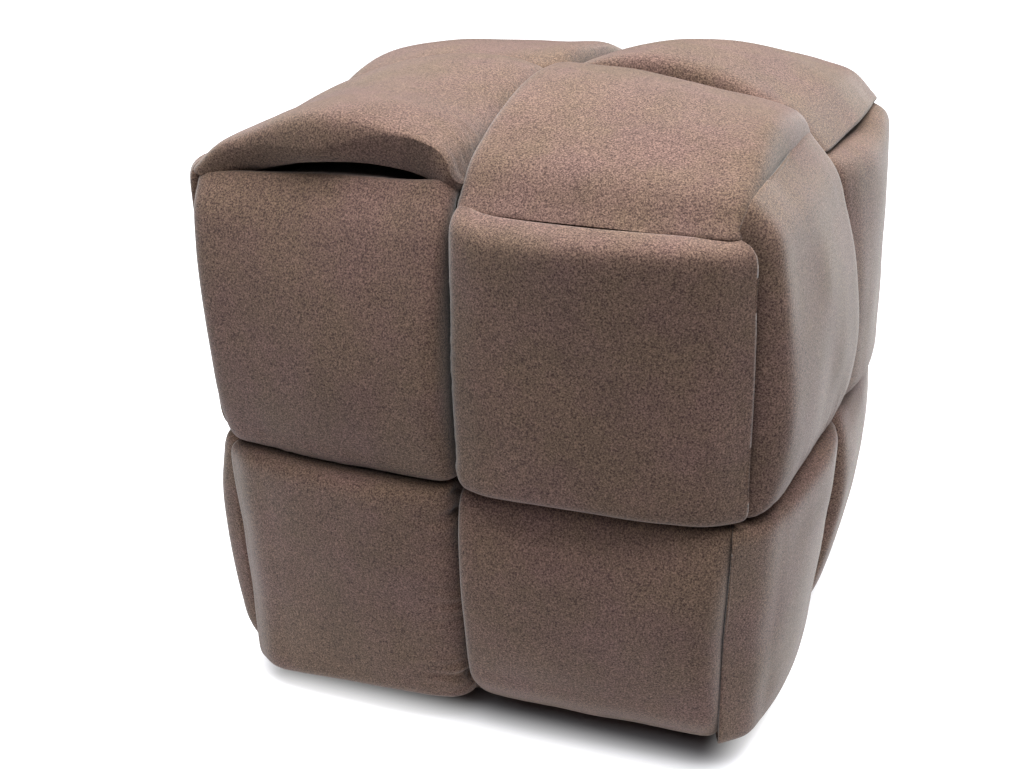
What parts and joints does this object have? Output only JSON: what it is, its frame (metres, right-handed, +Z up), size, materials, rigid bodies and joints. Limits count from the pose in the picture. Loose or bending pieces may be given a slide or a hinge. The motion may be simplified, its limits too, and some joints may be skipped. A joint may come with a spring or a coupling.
{
  "type": "cube-shaped woven felt pouf",
  "caption": "Soft cube-shaped seat woven from wide padded felt bands that pass over and under each other on every face.",
  "frame": {"origin": "on the floor under the middle of the pouf", "axes": "+Z up, -Y towards the front face, +X towards the right face"},
  "size_m": [0.4432, 0.4432, 0.4434],
  "materials": {
    "felt": "matt mottled brown wool felt"
  },
  "bodies": {
    "root": {"band_front": "felt", "band_back": "felt", "band_right": "felt", "band_left": "felt", "band_upper": "felt", "band_lower": "felt"}
  },
  "joints": []
}
